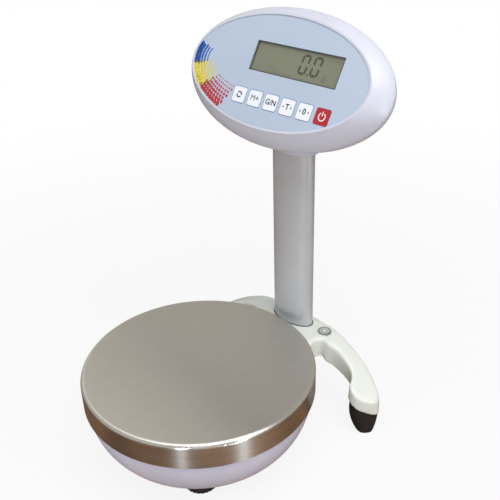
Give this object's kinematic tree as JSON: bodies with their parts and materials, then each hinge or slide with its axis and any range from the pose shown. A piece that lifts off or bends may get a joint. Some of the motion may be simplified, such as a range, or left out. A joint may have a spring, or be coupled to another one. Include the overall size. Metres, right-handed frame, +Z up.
{
  "type": "column weighing scale",
  "caption": "Counter weighing scale with a round lift-off steel pan, bowl base, cast rear bracket, oval column and an oval tilted display head with press keys.",
  "frame": {"origin": "on the floor plane, at the middle of the footprint", "axes": "+Z up, +Y away from the user, +X to the user's right"},
  "size_m": [0.2536, 0.2797, 0.4117],
  "materials": {
    "stainless": "fine brushed",
    "cast_white": "smooth white powder coat",
    "column_silver": "satin silver paint",
    "housing_white": "moulded, light gloss",
    "head_white": "moulded, light gloss",
    "overlay": "printed polyester film",
    "lcd_glass": "reflective display",
    "dark_plastic": "fine texture",
    "key_white": "printed film",
    "key_red": "printed film",
    "black_rubber": "moulded",
    "bare_aluminium": "machined",
    "cast_aluminium": "as cast",
    "zinc_steel": "zinc plated",
    "lid_plastic": "moulded",
    "battery_case": "moulded",
    "circuit_green": "solder mask",
    "cable_grey": "extruded jacket",
    "level_ring": "moulded",
    "level_clear": "clear acrylic"
  },
  "bodies": {
    "frame": {"base_housing": "housing_white", "base_screws": "zinc_steel", "battery": "battery_case", "battery_door": "housing_white", "board_parts": "dark_plastic", "board_screws": "zinc_steel", "bracket_screws": "zinc_steel", "buzzer": "dark_plastic", "cell_base_screws": "zinc_steel", "cell_lower_spacer": "zinc_steel", "chassis_pillars": "bare_aluminium", "chassis_plate": "zinc_steel", "column": "column_silver", "column_screws": "zinc_steel", "dc_jack": "dark_plastic", "dc_jack_pin": "zinc_steel", "face_panel": "overlay", "front_bezel": "head_white", "head_screws": "zinc_steel", "housing_lid": "lid_plastic", "key_switches": "dark_plastic", "lcd_frame": "dark_plastic", "lcd_glass": "lcd_glass", "left_boot": "black_rubber", "level_cup": "level_ring", "level_lens": "level_clear", "lid_screws": "zinc_steel", "load_cell": "bare_aluminium", "main_board": "circuit_green", "neck_screws": "zinc_steel", "rear_bracket": "cast_white", "rear_shell": "head_white", "right_boot": "black_rubber", "signal_cable": "cable_grey", "stop_studs": "zinc_steel"},
    "platform": {"platform_spider": "cast_aluminium", "pan_pads": "black_rubber", "cell_upper_spacer": "zinc_steel", "spider_screws": "zinc_steel"},
    "pan": {"weighing_pan": "stainless"},
    "left_foot": {"left_foot_wheel": "dark_plastic", "left_foot_pad": "black_rubber"},
    "right_foot": {"right_foot_wheel": "dark_plastic", "right_foot_pad": "black_rubber"},
    "button_unit": {"key_unit": "key_white"},
    "button_memory": {"key_memory": "key_white"},
    "button_gross_net": {"key_gross_net": "key_white"},
    "button_tare": {"key_tare": "key_white"},
    "button_zero": {"key_zero": "key_white"},
    "button_power": {"key_power": "key_red"}
  },
  "joints": [
    {"name": "platform_sink", "type": "slide", "parent": "frame", "child": "platform", "axis": [0, 0, -1], "range_m": [0, 0.0005], "stiffness_N_per_m": 60000, "springref_m": -0.0003, "deforming": ["load_cell"]},
    {"name": "pan_lift", "type": "slide", "parent": "platform", "child": "pan", "axis": [0, 0, 1], "range_m": [0, 0.04]},
    {"name": "left_foot_screw", "type": "slide", "parent": "frame", "child": "left_foot", "axis": [0, 0, -1], "range_m": [0, 0.006]},
    {"name": "right_foot_screw", "type": "slide", "parent": "frame", "child": "right_foot", "axis": [0, 0, -1], "range_m": [0, 0.006]},
    {"name": "press_unit", "type": "slide", "parent": "frame", "child": "button_unit", "axis": [0, 0.8572, -0.515], "range_m": [0, 0.0005], "stiffness_N_per_m": 150, "springref_m": -0.0006},
    {"name": "press_memory", "type": "slide", "parent": "frame", "child": "button_memory", "axis": [0, 0.8572, -0.515], "range_m": [0, 0.0005], "stiffness_N_per_m": 150, "springref_m": -0.0006},
    {"name": "press_gross_net", "type": "slide", "parent": "frame", "child": "button_gross_net", "axis": [0, 0.8572, -0.515], "range_m": [0, 0.0005], "stiffness_N_per_m": 150, "springref_m": -0.0006},
    {"name": "press_tare", "type": "slide", "parent": "frame", "child": "button_tare", "axis": [0, 0.8572, -0.515], "range_m": [0, 0.0005], "stiffness_N_per_m": 150, "springref_m": -0.0006},
    {"name": "press_zero", "type": "slide", "parent": "frame", "child": "button_zero", "axis": [0, 0.8572, -0.515], "range_m": [0, 0.0005], "stiffness_N_per_m": 150, "springref_m": -0.0006},
    {"name": "press_power", "type": "slide", "parent": "frame", "child": "button_power", "axis": [0, 0.8572, -0.515], "range_m": [0, 0.0005], "stiffness_N_per_m": 150, "springref_m": -0.0006}
  ]
}
